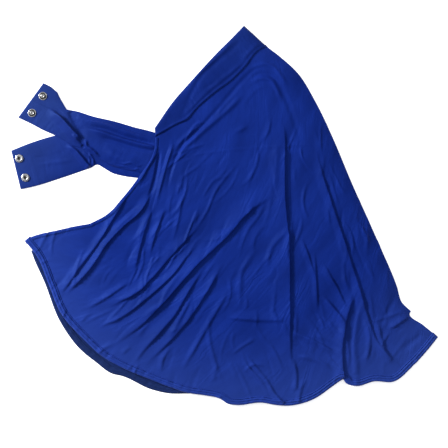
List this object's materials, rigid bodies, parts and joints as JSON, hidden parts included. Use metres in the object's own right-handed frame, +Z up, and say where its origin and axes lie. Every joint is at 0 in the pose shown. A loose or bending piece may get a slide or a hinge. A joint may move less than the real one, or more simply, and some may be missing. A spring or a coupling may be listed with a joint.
{
  "type": "superhero cape",
  "caption": "Superhero cape of smooth stretch knit, folded in half and laid flat, with a neck band that runs on into straps closed by metal press studs.",
  "frame": {"origin": "middle of the spread cape's bounding box, on the surface that the cape lies on", "axes": "+X across the folded cape from the strap ends to the back hem corner, +Y towards the neck fold, +Z up from the surface"},
  "size_m": [0.7284, 0.6464, 0.014],
  "materials": {
    "cape_knit": "royal blue stretch tricot with a soft satin sheen",
    "interfacing": "white non-woven stay inside the strap end",
    "press_stud_nickel": "bright nickel plate on stamped brass",
    "spring_wire": "spring steel wire"
  },
  "bodies": {
    "cape_lower": {"lower_panel": "cape_knit", "lower_hem": "cape_knit", "lower_neck_band": "cape_knit", "lower_strap_root": "cape_knit"},
    "cape_upper": {"upper_panel": "cape_knit", "upper_hem": "cape_knit", "upper_neck_band": "cape_knit", "upper_strap_root": "cape_knit"},
    "upper_strap": {"upper_strap_inner_ply": "cape_knit", "upper_strap_outer_ply": "cape_knit", "upper_strap_stay": "interfacing", "stud_eyelet_1": "press_stud_nickel", "stud_1": "press_stud_nickel", "stud_eyelet_2": "press_stud_nickel", "stud_2": "press_stud_nickel"},
    "lower_strap_end": {"lower_strap_inner_ply": "cape_knit", "lower_strap_outer_ply": "cape_knit", "lower_strap_stay": "interfacing", "socket_cap_1": "press_stud_nickel", "socket_1": "press_stud_nickel", "socket_spring_1": "spring_wire", "socket_cap_2": "press_stud_nickel", "socket_2": "press_stud_nickel", "socket_spring_2": "spring_wire"}
  },
  "joints": [
    {"name": "cape_fold", "type": "hinge", "parent": "cape_lower", "child": "cape_upper", "pos_m": [0.26313, -0.00556, 0.007], "axis": [-0.4611, 0.8873, 0], "range_deg": [0, 179.5]},
    {"name": "upper_strap_lift", "type": "hinge", "parent": "cape_upper", "child": "upper_strap", "pos_m": [-0.14702, 0.11144, 0.0053], "axis": [-0.1392, -0.9903, 0], "range_deg": [-150, 0]},
    {"name": "lower_strap_end_lift", "type": "hinge", "parent": "cape_lower", "child": "lower_strap_end", "pos_m": [-0.29076, 0.09692, 0.0017], "axis": [0.2833, -0.959, 0], "range_deg": [-150, 0]}
  ]
}
